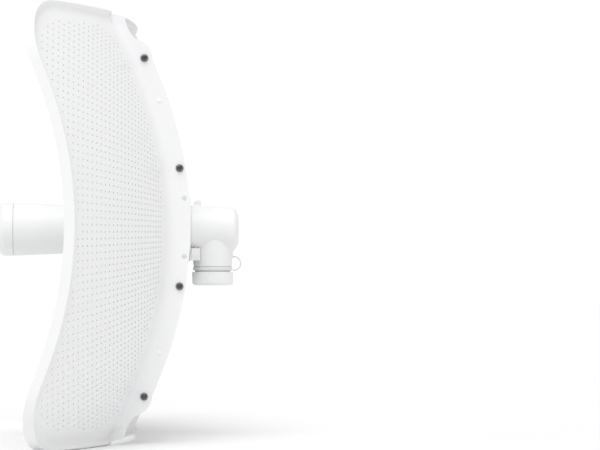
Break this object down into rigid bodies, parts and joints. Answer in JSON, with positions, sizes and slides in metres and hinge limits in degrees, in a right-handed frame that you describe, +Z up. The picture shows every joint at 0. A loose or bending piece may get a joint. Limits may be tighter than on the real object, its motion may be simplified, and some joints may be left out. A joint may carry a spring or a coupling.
{
  "type": "outdoor wireless bridge",
  "caption": "Outdoor wireless bridge with a rectangular three-piece dish, a feed tube through its centre and a rear housing with a capped downward cable port.",
  "frame": {"origin": "vertex of the paraboloid, on the beam axis", "axes": "+X along the dish's width towards the left wing, -Y along the beam, +Z up"},
  "size_m": [0.56, 0.2351, 0.404],
  "materials": {
    "painted_sheet": "satin white powder coat",
    "stainless": "satin",
    "housing_plastic": "fine matte white",
    "tether_plastic": "soft matte",
    "seal_rubber": "matte",
    "inner_plastic": "matte",
    "circuit_board": "solder mask",
    "tinned_metal": "satin",
    "copper": "bare copper"
  },
  "bodies": {
    "dish": {"board_carrier": "inner_plastic", "board_screws": "stainless", "board_socket": "inner_plastic", "cap_tether_strap": "tether_plastic", "center_reflector": "painted_sheet", "ethernet_jack": "inner_plastic", "feed_cap": "housing_plastic", "feed_cap_seal": "seal_rubber", "feed_ground_plate": "tinned_metal", "feed_patch": "copper", "feed_spacers": "inner_plastic", "front_collar": "housing_plastic", "heat_spreader": "tinned_metal", "housing_seal": "seal_rubber", "hub_screws": "stainless", "left_flange_nuts": "stainless", "left_flange_screws": "stainless", "left_flange_washers": "stainless", "left_wing_reflector": "painted_sheet", "port_board": "circuit_board", "radio_board": "circuit_board", "radio_tube": "housing_plastic", "rear_housing": "housing_plastic", "rear_hub": "housing_plastic", "reset_switch": "inner_plastic", "rf_shield": "tinned_metal", "right_flange_nuts": "stainless", "right_flange_screws": "stainless", "right_flange_washers": "stainless", "right_wing_reflector": "painted_sheet", "tube_seal": "seal_rubber"},
    "cap_carrier": {"cap_tether_ring": "tether_plastic"},
    "port_cap": {"port_cap": "housing_plastic", "port_seal": "seal_rubber"},
    "release_latch": {"release_latch": "housing_plastic"},
    "reset_button": {"reset_button": "inner_plastic"}
  },
  "joints": [
    {"name": "cap_travel", "type": "slide", "parent": "dish", "child": "cap_carrier", "axis": [0, 0, -1], "range_m": [0, 0.006], "deforming": ["cap_tether_strap"]},
    {"name": "cap_twist", "type": "hinge", "parent": "cap_carrier", "child": "port_cap", "pos_m": [0, 0.0249, -0.048], "axis": [0, 0, -1], "range_deg": [0, 720]},
    {"name": "latch_pull", "type": "slide", "parent": "dish", "child": "release_latch", "axis": [0.6157, 0, -0.788], "range_m": [0, 0.0025], "stiffness_N_per_m": 1200, "springref_m": -0.001},
    {"name": "reset_press", "type": "slide", "parent": "dish", "child": "reset_button", "axis": [0, 0, 1], "range_m": [0, 0.0003], "stiffness_N_per_m": 2000}
  ],
  "couplings": [
    {"joint": "cap_travel", "follows": "cap_twist", "m_per_rad": 0.00047746}
  ]
}
